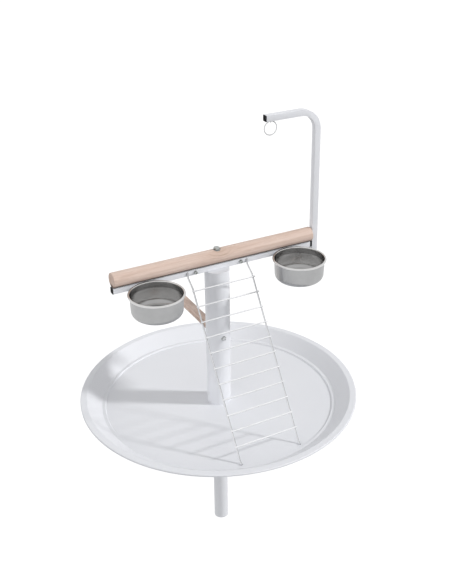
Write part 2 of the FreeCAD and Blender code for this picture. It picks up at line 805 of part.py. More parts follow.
def make_bowl(side, across):
    body = new_body("bowl_" + side)
    half = "bowl_sheet / 2"
    foot = "bowl_radius - bowl_taper"
    wall_top = "-bowl_bead_radius"
    sketch = new_sketch(body, "XZ_Plane")
    draw_outline(sketch, [
        ("0", "-bowl_depth"), (foot + " + " + half, "-bowl_depth"),
        ("bowl_radius + " + half, wall_top), ("bowl_radius - " + half, wall_top),
        (foot + " - " + half, "-bowl_depth + bowl_sheet"), ("0", "-bowl_depth + bowl_sheet")])
    shell = revolve(body, sketch)
    doc.recompute()
    outer = ring_edges(shell.Shape, size(foot + " + " + half), -size("bowl_depth"))
    drawn = soften(body, shell, outer, "bowl_corner_radius")
    inner = ring_edges(drawn.Shape, size(foot + " - " + half), size("bowl_sheet - bowl_depth"))
    soften(body, drawn, inner, "bowl_corner_radius - bowl_sheet")
    bead = new_sketch(body, "XZ_Plane")
    draw_circle(bead, "bowl_bead_radius", "bowl_bead_middle", "-bowl_bead_radius")
    revolve(body, bead)
    place(body, across, "bowl_y", "bowl_rim")
    doc.recompute()
    node(body, "bowl_" + side)

    boss = cylinder("stud_boss_" + side, "stud_boss_radius",
                    "-bar_half - free_gap - stud_start")
    shank = cylinder("stud_shank_" + side, "stud_radius", "stud_end - stud_start")
    stem = join("stud_stem_" + side, boss, shank)
    place(stem, across, "stud_start", "bar_middle", (1, 0, 0), -90.0)
    wall_space = cylinder("wall_space_" + side, "bowl_radius + bowl_sheet / 2 + seat_gap",
                          "bowl_depth")
    place(wall_space, across, "bowl_y", "bowl_rim - bowl_depth")
    bead_space = doc.addObject("Part::Torus", "bead_space_" + side)
    bind(bead_space, "Radius1", "bowl_bead_middle")
    bind(bead_space, "Radius2", "bowl_bead_radius + seat_gap")
    place(bead_space, across, "bowl_y", "bowl_rim - bowl_bead_radius")
    bowl_space = join("bowl_space_" + side, wall_space, bead_space)
    node(cut("bowl_stud_" + side, stem, bowl_space), "bowl_stud_" + side)

    node(make_washer("bowl_washer_" + side, across), "bowl_washer_" + side)
    node(make_wing_nut(side, across), "wing_nut_" + side)


def make_washer(name, across):
    body = new_body(name)
    sketch = new_sketch(body, "XY_Plane")
    draw_circle(sketch, "washer_radius")
    draw_circle(sketch, "stud_radius + hole_gap")
    pad(body, sketch, "washer_thickness")
    place(body, across, "bar_half + seat_gap", "bar_middle", (1, 0, 0), -90.0)
    return body


def make_wing_nut(side, along):
    """A hub with two ears that lean out and back from the bar."""
    body = new_body("wing_nut_" + side)
    hub = new_sketch(body, "XY_Plane")
    draw_circle(hub, "wing_hub_radius")
    pad(body, hub, "wing_hub_length")
    ears = new_sketch(body, "XZ_Plane", "-wing_thickness / 2")
    half = [("wing_root", "wing_start - wing_root_depth"), ("wing_span_radius", "wing_start"),
            ("wing_span_radius", "wing_top"), ("wing_span_radius - wing_tip_width", "wing_top"),
            ("wing_root", "wing_hub_length")]
    draw_outline(ears, half + [("-(%s)" % across, up) for across, up in reversed(half)])
    pad(body, ears, "wing_thickness")
    bore = new_sketch(body, "XY_Plane", "wing_top")
    draw_circle(bore, "stud_radius + running_gap")
    pocket(body, bore, "wing_top")
    place(body, along, "nut_start", "bar_middle", (1, 0, 0), -90.0)
    doc.recompute()
    return body


# ---------------------------------------------------------------- ladder

def make_rail(side, across):
    body = new_body("ladder_rail_" + side)
    section = new_sketch(body, "XZ_Plane", "-hook_end")
    draw_circle(section, "rail_radius", across, "hook_height")
    path = new_sketch(body, "YZ_Plane", across)
    draw_bent_path(path, [
        ("hook_end", "hook_height"), ("hook_line", "hook_height"),
        ("hook_line", "tube_top - rail_radius"), ("-bend_forward", "bend_height"),
        ("-heel_forward", "toe_height"), ("-heel_forward - toe_length", "toe_height")],
        ["hook_bend_radius", "hook_bend_radius", "rail_bend_radius", "rail_bend_radius"])
    sweep(body, section, path)
    doc.recompute()
    node(body, "ladder_rail_" + side)


def make_ladder():
    make_rail("left", "-ladder_offset - ladder_half_width")
    make_rail("right", "-ladder_offset + ladder_half_width")
    length = "2 * (ladder_half_width + rung_overhang)"
    for number in range(int(size("rung_count"))):
        rung = cylinder("rung_%02d" % (number + 1), "rung_radius", length)
        down = "%d * rung_pitch" % number
        place(rung, "-ladder_offset - ladder_half_width - rung_overhang",
              "-(first_rung_forward + %s * slope_run + rung_lift * slope_drop)" % down,
              "first_rung_height - %s * slope_drop + rung_lift * slope_run" % down,
              (0, 1, 0), 90.0)
        node(rung, "rung_%02d" % (number + 1))


# ---------------------------------------------------------------- back perch

def make_back_perch():
    dowel = cylinder("back_perch_dowel", "back_perch_radius",
                     "back_perch_length + tube_radius")
    place(dowel, "0", "0", "back_perch_middle", (1, 0, 0), -90.0)
    pilot = cylinder("back_perch_pilot", "back_screw_radius + press_gap",
                     "tube_radius + back_screw_bite + free_gap")
    place(pilot, "0", "0", "back_perch_middle", (1, 0, 0), -90.0)
    coping = cylinder("back_perch_coping", "tube_radius + seat_gap", "4 * back_perch_radius")
    place(coping, z="back_perch_middle - 2 * back_perch_radius")
    node(cut("back_perch", cut("back_perch_coped", dowel, coping), pilot), "back_perch")

    shank = cylinder("back_screw_shank", "back_screw_radius",
                     "2 * tube_radius + back_washer_thickness + back_screw_bite")
    head = cylinder("back_screw_head", "back_screw_head_radius", "back_screw_head_height")
    place(head, z="-back_screw_head_height")
    screw = join("back_perch_screw", shank, head)
    place(screw, "0", "-tube_radius - back_washer_thickness", "back_perch_middle",
          (1, 0, 0), -90.0)
    node(screw, "back_perch_screw")

    disc = cylinder("back_washer_disc", "back_washer_radius", "2 * back_washer_thickness")
    place(disc, "0", "-tube_radius - back_washer_thickness", "back_perch_middle",
          (1, 0, 0), -90.0)
    hole = cylinder("back_washer_hole", "back_screw_radius + press_gap",
                    "2 * back_washer_thickness")
    place(hole, "0", "-tube_radius - back_washer_thickness", "back_perch_middle",
          (1, 0, 0), -90.0)
    wall = cylinder("back_washer_wall", "tube_radius + seat_gap", "4 * back_washer_radius")
    place(wall, z="back_perch_middle - 2 * back_washer_radius")
    node(cut("back_perch_washer", cut("back_washer_ring", disc, hole), wall),
         "back_perch_washer")


# ---------------------------------------------------------------- build and write

make_pole()
make_tray()
make_tray_screws()
make_tube()
make_crossbar()
make_bar_ends()
make_perch()
make_perch_bolt()
make_stop_screws()
make_hanger()
make_hanger_bolt()
make_toy_ring()
make_bowl("left", "-bowl_left_offset")
make_bowl("right", "bowl_right_offset")
make_ladder()
make_back_perch()
doc.recompute()

for thing in doc.Objects:
    if "Invalid" in thing.State or "Error" in thing.State:
        raise RuntimeError("%s (%s) did not build" % (thing.Label, thing.Name))
for piece in nodes:
    if piece.Shape.isNull() or not piece.Shape.isValid() or piece.Shape.Volume <= 0:
        raise RuntimeError("%s has no sound shape" % piece.Label)

os.makedirs("parts", exist_ok=True)
for piece in nodes:
    piece.Shape.exportStep(os.path.join("parts", piece.Label + ".step"))
print("%d nodes written" % len(nodes))
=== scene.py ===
import json
from math import cos, pi, radians, sin, sqrt, tan

import bmesh
import bpy
from mathutils import Matrix, Vector


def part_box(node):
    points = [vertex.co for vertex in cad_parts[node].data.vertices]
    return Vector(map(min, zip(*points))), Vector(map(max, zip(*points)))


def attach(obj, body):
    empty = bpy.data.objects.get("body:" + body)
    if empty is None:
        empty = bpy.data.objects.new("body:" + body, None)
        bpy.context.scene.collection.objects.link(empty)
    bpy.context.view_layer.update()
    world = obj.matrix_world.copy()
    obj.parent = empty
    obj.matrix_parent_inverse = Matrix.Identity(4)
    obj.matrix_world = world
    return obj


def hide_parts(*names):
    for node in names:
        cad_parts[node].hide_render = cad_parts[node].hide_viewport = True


# A parrot play stand, dressed over its CAD frame: metres, +X along the crossbar
# towards the hanger, +Y to the back, +Z up from the pole's lower end.

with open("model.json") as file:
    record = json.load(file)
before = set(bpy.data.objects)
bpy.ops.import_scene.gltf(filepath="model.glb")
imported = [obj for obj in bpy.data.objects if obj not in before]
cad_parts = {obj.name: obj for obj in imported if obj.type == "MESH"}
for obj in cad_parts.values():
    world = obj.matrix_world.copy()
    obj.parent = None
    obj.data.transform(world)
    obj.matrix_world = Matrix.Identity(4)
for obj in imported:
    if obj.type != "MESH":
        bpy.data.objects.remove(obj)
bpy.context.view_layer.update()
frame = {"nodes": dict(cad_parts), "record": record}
scene = bpy.context.scene
MM = 0.001
TOUCH = 1e-6  # corners closer than this many metres are one corner

# image right and the way from the camera to the object, both level, and up
RIGHT = Vector((0.868, -0.497, 0))
AWAY = Vector((0.497, 0.868, 0))
UP = Vector((0, 0, 1))

# turns that lay a piece made about +Z along another way
ALONG_X = Matrix.Rotation(radians(90), 4, "Y")
ALONG_BACK = Matrix.Rotation(radians(-90), 4, "X")
ALONG_FRONT = Matrix.Rotation(radians(90), 4, "X")
UPSIDE_DOWN = Matrix.Rotation(pi, 4, "X")
AGAINST_X = Matrix.Rotation(radians(-90), 4, "Y")
HALF_ROUND = Matrix.Rotation(pi, 4, "Z")


def low(node):
    return Vector(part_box(node)[0])


def high(node):
    return Vector(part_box(node)[1])


def middle(node):
    return (low(node) + high(node)) / 2


def span(node):
    return high(node) - low(node)


# ---------------------------------------------------------------- the studio

def photo_camera():
    """The camera where the photograph was taken, found from the tray, tube and bars."""
    yaw, pitch, roll = radians(29.82), radians(26.85), radians(0.24)
    focal, middle_x, middle_y = 951.13, 260.25, 277.30
    width, height = 452, 584
    spot = (-0.79319, -1.56321, 1.50954)
    forward = Vector((sin(yaw) * cos(pitch), cos(yaw) * cos(pitch), -sin(pitch)))
    level = Vector((cos(yaw), -sin(yaw), 0))
    rise = level.cross(forward)
    right = level * cos(roll) + rise * sin(roll)
    up = rise * cos(roll) - level * sin(roll)
    data = bpy.data.cameras.new("photo_camera")
    data.sensor_fit = "AUTO"
    data.sensor_width = 36.0
    data.lens = focal / height * data.sensor_width
    data.shift_x = -(middle_x - width / 2) / height
    data.shift_y = -(height / 2 - middle_y) / height
    data.clip_start = 0.01
    data.clip_end = 60
    camera = bpy.data.objects.new("photo_camera", data)
    scene.collection.objects.link(camera)
    turn = Matrix((right, up, -forward)).transposed().to_4x4()
    camera.matrix_world = Matrix.Translation(spot) @ turn
    scene.camera = camera


def studio_lamp(name, around, height, spread, power):
    """A far lamp that metal doesn't mirror, with its place and its size in degrees.

    Around goes from image right towards the camera, and height goes up from level.
    """
    turn, rise = radians(around), radians(height)
    towards = (RIGHT * cos(turn) - AWAY * sin(turn)) * cos(rise) + UP * sin(rise)
    data = bpy.data.lights.new(name, "SUN")
    data.angle = radians(spread)
    data.energy = power
    obj = bpy.data.objects.new(name, data)
    scene.collection.objects.link(obj)
    obj.matrix_world = (-towards).to_track_quat("-Z", "Y").to_matrix().to_4x4()
    obj.visible_glossy = False


def seen_directly(nodes, links):
    """1 for what the camera sees, also in metal or through glass, and 0 for soft light."""
    path = nodes.new("ShaderNodeLightPath")
    value = path.outputs["Is Camera Ray"]
    for kind in ("Is Glossy Ray", "Is Transmission Ray"):
        both = nodes.new("ShaderNodeMath")
        both.operation = "MAXIMUM"
        links.new(value, both.inputs[0])
        links.new(path.outputs[kind], both.inputs[1])
        value = both.outputs[0]
    return value


def studio_air(level):
    """Soft light from all round, with a white backdrop behind the object."""
    world = bpy.data.worlds.new("studio_air")
    world.use_nodes = True
    world.cycles.sampling_method = "NONE"
    scene.world = world
    nodes, links = world.node_tree.nodes, world.node_tree.links
    nodes.clear()
    out = nodes.new("ShaderNodeOutputWorld")
    soft = nodes.new("ShaderNodeBackground")
    soft.inputs["Color"].default_value = (0.985, 0.99, 1.0, 1)
    soft.inputs["Strength"].default_value = level
    white = nodes.new("ShaderNodeBackground")
    white.inputs["Color"].default_value = (1, 1, 1, 1)
    white.inputs["Strength"].default_value = 1.0
    mix = nodes.new("ShaderNodeMixShader")
    links.new(seen_directly(nodes, links), mix.inputs["Fac"])
    links.new(soft.outputs[0], mix.inputs[1])
    links.new(white.outputs[0], mix.inputs[2])
    links.new(mix.outputs[0], out.inputs["Surface"])


def studio_floor(height):
    """A wide floor well below the pole's end. It looks white and throws little light up."""
    width, tone, glow_strength = 30, 0.26, 0.85
    deselect()
    bpy.ops.mesh.primitive_plane_add(size=width, location=(0, 0, height))
    floor = fresh("studio_floor")
    paint = bpy.data.materials.new("pale_floor")
    paint.use_nodes = True
    nodes, links = paint.node_tree.nodes, paint.node_tree.links
    shade = nodes["Principled BSDF"]
    shade.inputs["Base Color"].default_value = (tone, tone, tone, 1)
    shade.inputs["Roughness"].default_value = 1.0
    shade.inputs["Specular IOR Level"].default_value = 0.0
    dark = nodes.new("ShaderNodeEmission")
    dark.inputs["Strength"].default_value = 0.0
    glow = nodes.new("ShaderNodeEmission")
    glow.inputs["Strength"].default_value = glow_strength
    mix = nodes.new("ShaderNodeMixShader")
    links.new(seen_directly(nodes, links), mix.inputs["Fac"])
    links.new(dark.outputs[0], mix.inputs[1])
    links.new(glow.outputs[0], mix.inputs[2])
    add = nodes.new("ShaderNodeAddShader")
    links.new(shade.outputs[0], add.inputs[0])
    links.new(mix.outputs[0], add.inputs[1])
    links.new(add.outputs[0], nodes["Material Output"].inputs["Surface"])
    floor.data.materials.append(paint)


# ---------------------------------------------------------------- modelling helpers

def deselect():
    for obj in list(bpy.context.selected_objects):
        obj.select_set(False)
    bpy.context.view_layer.objects.active = None


def fresh(name):
    """The primitive just added, under its own name and with its mesh named alike."""
    obj = bpy.context.object
    obj.name = name
    obj.data.name = name
    return obj


def chosen(obj):
    deselect()
    bpy.context.view_layer.objects.active = obj
    obj.select_set(True)
    return obj


def edit(obj, kind, action="DESELECT"):
    chosen(obj)
    bpy.ops.object.mode_set(mode="EDIT")
    bpy.ops.mesh.select_mode(type=kind)
    bpy.ops.mesh.select_all(action=action)


def done(obj):
    bpy.ops.object.mode_set(mode="OBJECT")
    deselect()
    return obj


def pick(obj, kind, test):
    """In edit mode, select the faces, edges or verts that pass a test."""
    mesh = bmesh.from_edit_mesh(obj.data)
    for item in getattr(mesh, kind):
        item.select_set(bool(test(item)))
    bmesh.update_edit_mesh(obj.data)


def apply_modifier(obj, kind, **settings):
    chosen(obj)
    modifier = obj.modifiers.new(kind.lower(), kind)
    for key, value in settings.items():
        setattr(modifier, key, value)
    bpy.ops.object.modifier_apply(modifier=modifier.name)
    deselect()
    return obj


def smooth(obj, angle=35):
    chosen(obj)
    bpy.ops.object.shade_smooth_by_angle(angle=radians(angle))
    deselect()
    return obj


def rounded(obj, width, segments, angle=40):
    """Soften the sharp edges and shade the faces between them smooth."""
    apply_modifier(obj, "BEVEL", width=width, segments=segments, limit_method="ANGLE",
                   angle_limit=radians(angle), harden_normals=False)
    return smooth(obj)


def shaped(obj, tool, operation):
    """Join with a second solid, or keep or lose what is inside it. It is used up."""
    apply_modifier(obj, "BOOLEAN", operation=operation, object=tool, solver="EXACT")
    bpy.data.objects.remove(tool)
    return obj


def settle(obj, turn=None, spot=(0, 0, 0)):
    """Turn and move a piece's own mesh, so that its object stays at the origin."""
    chosen(obj)
    obj.matrix_world = Matrix.Translation(Vector(spot)) @ (turn or Matrix.Identity(4))
    bpy.ops.object.transform_apply(location=True, rotation=True, scale=True)
    deselect()
    return obj


def merged(name, pieces):
    deselect()
    for piece in pieces:
        piece.select_set(True)
    bpy.context.view_layer.objects.active = pieces[0]
    bpy.ops.object.join()
    obj = fresh(name)
    deselect()
    return obj


def copied(obj, name):
    """A copy of a piece with a mesh of its own."""
    twin = obj.copy()
    twin.data = obj.data.copy()
    twin.name = name
    twin.data.name = name
    scene.collection.objects.link(twin)
    return twin


def clean_copy(node, name):
    """A copy of a node's own mesh, with its seams closed and its flat faces whole."""
    twin = copied(frame["nodes"][node], name)
    edit(twin, "VERT", "SELECT")
    bpy.ops.mesh.remove_doubles(threshold=TOUCH)
    bpy.ops.mesh.dissolve_limited(angle_limit=radians(1))
    return done(twin)


def arc(centre_r, centre_h, radius, start, end, steps=6):
    """Points of a round stretch of a profile, angles in degrees from outwards."""
    turns = [radians(start + (end - start) * i / steps) for i in range(steps + 1)]
    return [(centre_r + radius * cos(a), centre_h + radius * sin(a)) for a in turns]


def on_the_axis(face):
    spot = face.calc_center_median()
    return abs(spot.x) + abs(spot.y) < TOUCH


def turned(name, profile, sides=48, bored=False):
    """A round piece drawn up ring by ring from a disc, as (radius, height) in mm.

    A bored piece's profile goes round its wall and ends where it started.
    """
    smallest = 0.02
    rings = [(max(r, smallest) * MM, h * MM) for r, h in profile]
    first_r, first_h = rings[0]
    deselect()
    bpy.ops.mesh.primitive_circle_add(vertices=sides, radius=first_r, fill_type="NGON")
    obj = fresh(name)
    edit(obj, "FACE", "SELECT")
    bpy.ops.transform.translate(value=(0, 0, first_h))
    last_r, last_h = first_r, first_h
    for r, h in rings[1:]:
        bpy.ops.mesh.extrude_region_move(TRANSFORM_OT_translate={"value": (0, 0, h - last_h)})
        bpy.ops.transform.resize(value=(r / last_r, r / last_r, 1), center_override=(0, 0, h))
        last_r, last_h = r, h
    if bored:
        bpy.ops.mesh.delete(type="ONLY_FACE")
        pick(obj, "faces", on_the_axis)
        bpy.ops.mesh.delete(type="ONLY_FACE")
        bpy.ops.mesh.select_all(action="SELECT")
        bpy.ops.mesh.remove_doubles(threshold=TOUCH / 10)
    bpy.ops.mesh.select_all(action="SELECT")
    bpy.ops.mesh.normals_make_consistent(inside=False)
    return smooth(done(obj))


def block(name, length, width, bottom, top, turn=0):
    """A sharp-edged block between two heights, in mm, turned by degrees about Z."""
    deselect()
    bpy.ops.mesh.primitive_cube_add(
        size=1, location=(0, 0, (bottom + top) / 2 * MM), rotation=(0, 0, radians(turn)),
        scale=(length * MM, width * MM, (top - bottom) * MM))
    obj = fresh(name)
    bpy.ops.object.transform_apply(location=True, rotation=True, scale=True)
    return obj


def corner_radius(across):
    """From a hexagon's middle to its corner, for its size across the flats."""
    return across / 2 / cos(pi / 6)


def hex_blank(name, across, bottom, top):
    """A six-sided bar between two heights, in mm, with corners along X."""
    deselect()
    bpy.ops.mesh.primitive_cylinder_add(
        vertices=6, radius=corner_radius(across) * MM, depth=(top - bottom) * MM,
        location=(0, 0, (top + bottom) / 2 * MM), rotation=(0, 0, radians(30)))
    obj = fresh(name)
    bpy.ops.object.transform_apply(location=True, rotation=True, scale=True)
    return obj


def hex_piece(name, across, bottom, top, chamfered_below=False):
    """A hex head or nut whose corners are turned away at 30 degrees."""
    face, clear = 0.47 * across, corner_radius(across) + 0.1
    fall = (corner_radius(across) - face) * tan(radians(30))
    barrel = [(clear, bottom), (clear, top - fall), (face, top)]
    if chamfered_below:
        barrel = [(face, bottom), (clear, bottom + fall)] + barrel[1:]
    obj = hex_blank(name, across, bottom, top)
    shaped(obj, turned("barrel", barrel, 72), "INTERSECT")
    return rounded(obj, 0.12 * MM, 2, 25)


def nut_drill(bore, length, flare):
    """The cutter for a nut's hole, countersunk at both of its faces."""
    past, sink = 0.1, 0.45
    return turned("drill", [(bore + flare, -past), (bore, sink), (bore, length - sink),
                            (bore + flare, length + past)], 40)


def hex_nut(name, across, thick, bore):
    """A nut with both faces chamfered and a countersunk bore, standing on its face."""
    nut = hex_piece(name, across, 0, thick, chamfered_below=True)
    return smooth(shaped(nut, nut_drill(bore, thick, 0.5), "DIFFERENCE"), 30)


def washer(name, outer, inner, thick):
    """A flat ring with its outer edges rolled over by the punch."""
    ease, burr = min(0.35, thick / 3), 0.15
    profile = [(inner, 0), (outer - ease, 0)]
    profile += arc(outer - ease, ease, ease, -90, 0, 4)[1:]
    profile += arc(outer - ease, thick - ease, ease, 0, 90, 4)
    profile += [(inner + burr, thick), (inner, thick - burr), (inner, 0)]
    return turned(name, profile, 64, bored=True)


def threaded_rod(name, radius, pitch, bottom, top):
    """A plain rod with rings cut into it at the thread's pitch, and a chamfered tip."""
    root, crest, chamfer = radius - 0.54 * pitch, pitch / 8, 0.4
    profile = [(root, bottom)]
    height = bottom + pitch / 2
    while height < top - pitch:
        profile += [(radius, height), (radius, height + crest), (root, height + pitch / 2)]
        height += pitch
    profile += [(root, top - pitch / 3), (root - chamfer, top)]
    return turned(name, profile, 32)


def fit(obj, body, material, slot_name, *stands_for):
    """Give a finished piece its body, its finish and the nodes that it stands for."""
    obj.data.materials.clear()
    obj.data.materials.append(material)
    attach(obj, body)
    if stands_for:
        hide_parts(*stands_for)
    return obj


# ---------------------------------------------------------------- finishes

class Finish:
    """A finish that is built up from patterns in the object's own space."""

    def __init__(self, name):
        self.material = bpy.data.materials.new(name)
        self.material.use_nodes = True
        self.nodes = self.material.node_tree.nodes
        self.links = self.material.node_tree.links
        self.shader = self.nodes["Principled BSDF"]
        seat = self.nodes.new("ShaderNodeTexCoord")
        self.place, self.side = seat.outputs["Object"], seat.outputs["Normal"]

    def set(self, **values):
        for key, value in values.items():
            self.shader.inputs[key.replace("_", " ")].default_value = value
        return self

    def feed(self, socket, value):
        if hasattr(value, "is_output"):
            self.links.new(value, socket)
        else:
            socket.default_value = value

    def stretch(self, scale, spot=(0, 0, 0), turn=(0, 0, 0)):
        node = self.nodes.new("ShaderNodeMapping")
        node.inputs["Location"].default_value = spot
        node.inputs["Rotation"].default_value = turn
        node.inputs["Scale"].default_value = scale
        self.links.new(self.place, node.inputs["Vector"])
        return node.outputs["Vector"]

    def noise(self, where, scale, detail=3.0, rough=0.55, warp=0.0):
        node = self.nodes.new("ShaderNodeTexNoise")
        self.links.new(where, node.inputs["Vector"])
        node.inputs["Scale"].default_value = scale
        node.inputs["Detail"].default_value = detail
        node.inputs["Roughness"].default_value = rough
        node.inputs["Distortion"].default_value = warp
        return node.outputs["Fac"]

    def rings(self, where, scale, warp):
        """Rings about the X axis, like those of a trunk."""
        node = self.nodes.new("ShaderNodeTexWave")
        node.wave_type = "RINGS"
        node.rings_direction = "X"
        self.links.new(where, node.inputs["Vector"])
        node.inputs["Scale"].default_value = scale
        node.inputs["Distortion"].default_value = warp
        node.inputs["Detail"].default_value = 2.0
        node.inputs["Detail Scale"].default_value = 1.2
        return node.outputs["Fac"]

    def distance(self, where):
        """How far a place is from the origin of its own stretched pattern."""
        node = self.nodes.new("ShaderNodeVectorMath")
        node.operation = "LENGTH"
        self.links.new(where, node.inputs[0])
        return node.outputs["Value"]

    def part_of(self, where, axis):
        node = self.nodes.new("ShaderNodeSeparateXYZ")
        self.links.new(where, node.inputs[0])
        return node.outputs[axis]

    def round_the_axis(self, spot):
        """Radius and height about an upright axis, so that lines run in circles."""
        flat = self.stretch((1, 1, 0), (-spot.x, -spot.y, 0))
        node = self.nodes.new("ShaderNodeCombineXYZ")
        self.links.new(self.distance(flat), node.inputs["X"])
        self.links.new(self.part_of(self.place, "Z"), node.inputs["Z"])
        return node.outputs[0]

    def ramp(self, factor, *stops):
        """Colours along a factor: (place, colour) pairs."""
        node = self.nodes.new("ShaderNodeValToRGB")
        self.links.new(factor, node.inputs["Fac"])
        ramp = node.color_ramp
        while len(ramp.elements) < len(stops):
            ramp.elements.new(0.5)
        for element, (where, colour) in zip(ramp.elements, stops):
            element.position = where
            element.color = (*colour, 1)
        return node.outputs["Color"]

    def level(self, factor, low_end, high_end, start=0.0, end=1.0):
        """Spread a factor over a range of values."""
        node = self.nodes.new("ShaderNodeMapRange")
        self.links.new(factor, node.inputs["Value"])
        node.inputs["From Min"].default_value = start
        node.inputs["From Max"].default_value = end
        node.inputs["To Min"].default_value = low_end
        node.inputs["To Max"].default_value = high_end
        return node.outputs["Result"]

    def math(self, kind, a, b=0.0):
        node = self.nodes.new("ShaderNodeMath")
        node.operation = kind
        self.feed(node.inputs[0], a)
        self.feed(node.inputs[1], b)
        return node.outputs[0]

    def blend(self, factor, a, b):
        node = self.nodes.new("ShaderNodeMix")
        node.data_type = "RGBA"
        self.feed(node.inputs[0], factor)
        self.feed(node.inputs[6], a if hasattr(a, "is_output") else (*a, 1))
        self.feed(node.inputs[7], b if hasattr(b, "is_output") else (*b, 1))
        return node.outputs[2]

    def wash(self, tone, factor, strength, start, end, colour):
        """Lay a colour over a tone, more and more as a factor goes from start to end."""
        return self.blend(self.level(factor, 0.0, strength, start, end), tone, colour)

    def colour(self, value):
        self.links.new(value, self.shader.inputs["Base Color"])
        return self

    def gloss(self, value):
        self.links.new(value, self.shader.inputs["Roughness"])
        return self

    def bump(self, height, distance, strength):
        """Raise the surface by a pattern, on top of what already raises it."""
        node = self.nodes.new("ShaderNodeBump")
        self.links.new(height, node.inputs["Height"])
        node.inputs["Distance"].default_value = distance
        node.inputs["Strength"].default_value = strength
        before = self.shader.inputs["Normal"]
        if before.is_linked:
            self.links.new(before.links[0].from_socket, node.inputs["Normal"])
        self.links.new(node.outputs["Normal"], before)
        return self


def powder_coat(name, pale, deep, grain, depth):
    """Baked white powder paint: a faint orange peel and a slightly uneven tone."""
    coat = Finish(name).set(IOR=1.5, Coat_Weight=0.10, Coat_Roughness=0.20)
    drift = coat.noise(coat.place, 5.0, 2.0)
    coat.colour(coat.ramp(drift, (0.3, deep), (0.7, pale)))
    coat.gloss(coat.level(coat.noise(coat.place, 60.0, 2.0), 0.36, 0.48))
    coat.bump(coat.noise(coat.place, grain, 2.0, 0.5), depth, 0.6)
    return coat.material


def wire_coat(name, pale, deep, shade, painted_shade_side, start, end):
    """White coated wire with a painted shade: greyer on the side that a given direction points
    to.
    """
    coat = Finish(name).set(IOR=1.5, Coat_Weight=0.10, Coat_Roughness=0.20)
    facing = coat.nodes.new("ShaderNodeVectorMath")
    facing.operation = "DOT_PRODUCT"
    coat.links.new(coat.side, facing.inputs[0])
    facing.inputs[1].default_value = painted_shade_side
    drift = coat.noise(coat.place, 30.0, 2.0)
    tone = coat.ramp(drift, (0.3, deep), (0.7, pale))
    # painted shade: the tone turns to the shade colour on the side that the given direction
    # points to
    coat.colour(coat.wash(tone, facing.outputs["Value"], 1.0, start, end, shade))
    coat.gloss(coat.level(drift, 0.34, 0.46))
    coat.bump(coat.noise(coat.place, 900.0, 2.0, 0.5), 0.00004, 0.6)
    return coat.material


def beech(name, turn, knot, rest_height):
    """Pale sanded beech: long flakes, soft rings, fine pores, flecks and one flame.

    The turn lays the grain along the piece, and the flame is drawn about the knot.
    A painted shade darkens the wood to a line where it rests on the bar, just above the rest
    height.
    """
    wood = Finish(name).set(IOR=1.45, Specular_IOR_Level=0.3)
    flow = wood.noise(wood.stretch((5.0, 60.0, 60.0), turn=turn), 1.0, 4.0, 0.6, 0.8)
    tone = wood.ramp(flow, (0.30, (0.620, 0.462, 0.382)), (0.50, (0.715, 0.560, 0.480)),
                     (0.72, (0.780, 0.632, 0.556)))
    broad = wood.rings(wood.stretch((1.0, 14.0, 14.0), (0.4, 0.10, 0.16), turn), 2.6, 4.0)
    tone = wood.wash(tone, broad, 0.30, 0.45, 1.0, (0.640, 0.475, 0.400))
    streak = wood.noise(wood.stretch((9.0, 330.0, 330.0), (0.7, 0.2, 0.4), turn),
                        1.0, 3.0, 0.65)
    tone = wood.wash(tone, streak, 0.42, 0.50, 0.72, (0.560, 0.415, 0.345))
    pores = wood.noise(wood.stretch((30.0, 900.0, 900.0), turn=turn), 1.0, 2.0, 0.6)
    tone = wood.wash(tone, pores, 0.55, 0.56, 0.76, (0.50, 0.355, 0.285))
    flecks = wood.noise(wood.stretch((70.0, 420.0, 420.0), (0.2, 0.3, 0.1), turn), 1.0, 1.0)
    tone = wood.wash(tone, flecks, 0.30, 0.60, 0.75, (0.830, 0.700, 0.625))

    # the flame: curved bands that run out along the grain and fade away from the knot
    long_reach, side_reach = 0.030, 0.012
    curve, climb, wander = 8.0, -11.0, 12.0
    scale = Vector((1 / long_reach, 1 / side_reach, 1 / side_reach))
    spread = wood.stretch(scale, -scale * knot)
    along = wood.part_of(spread, "X")
    bands = wood.math("ADD", wood.math("MULTIPLY", wood.math("MULTIPLY", along, along), curve),
                      wood.math("MULTIPLY", wood.part_of(spread, "Z"), climb))
    wave = wood.math("SINE", wood.math("ADD", bands, wood.math("MULTIPLY", flow, wander)))
    near = wood.level(wood.distance(spread), 0.60, 0.0, 0.15, 1.05)
    flame = wood.math("MULTIPLY", near, wood.level(wave, 0.0, 1.0, 0.0, 0.9))
    tone = wood.blend(flame, tone, (0.430, 0.300, 0.215))

    # painted shade: a dark line on the wood just above where it rests on the bar, in place of
    # the shadow in that narrow gap
    painted_shade_full_to, painted_shade_gone_at = rest_height + 3.6 * MM, rest_height + 8.6 * MM
    shade = wood.level(wood.part_of(wood.place, "Z"), 1.0, 0.0, painted_shade_full_to, painted_shade_gone_at)
    wood.colour(wood.blend(shade, tone, (0.110, 0.068, 0.050)))
    wood.gloss(wood.level(flow, 0.60, 0.76))
    wood.bump(pores, 0.00012, 0.5)
    wood.bump(streak, 0.0002, 0.35)
    return wood.material


def spun_steel(name, spot, tone, rough=0.14):
    """Pressed steel with the fine rings that its polishing leaves about the axis."""
    steel = Finish(name).set(Metallic=1.0)
    cloud = steel.noise(steel.place, 45.0, 3.0)
    darker, lighter = ([change * part for part in tone] for change in (0.96, 1.04))
    steel.colour(steel.ramp(cloud, (0.3, darker), (0.7, lighter)))
    lines = steel.noise(steel.round_the_axis(spot), 1400.0, 2.0, 0.6)
    steel.gloss(steel.level(lines, rough, rough + 0.11, 0.3, 0.7))
    steel.bump(lines, 0.00001, 0.35)
    return steel.material


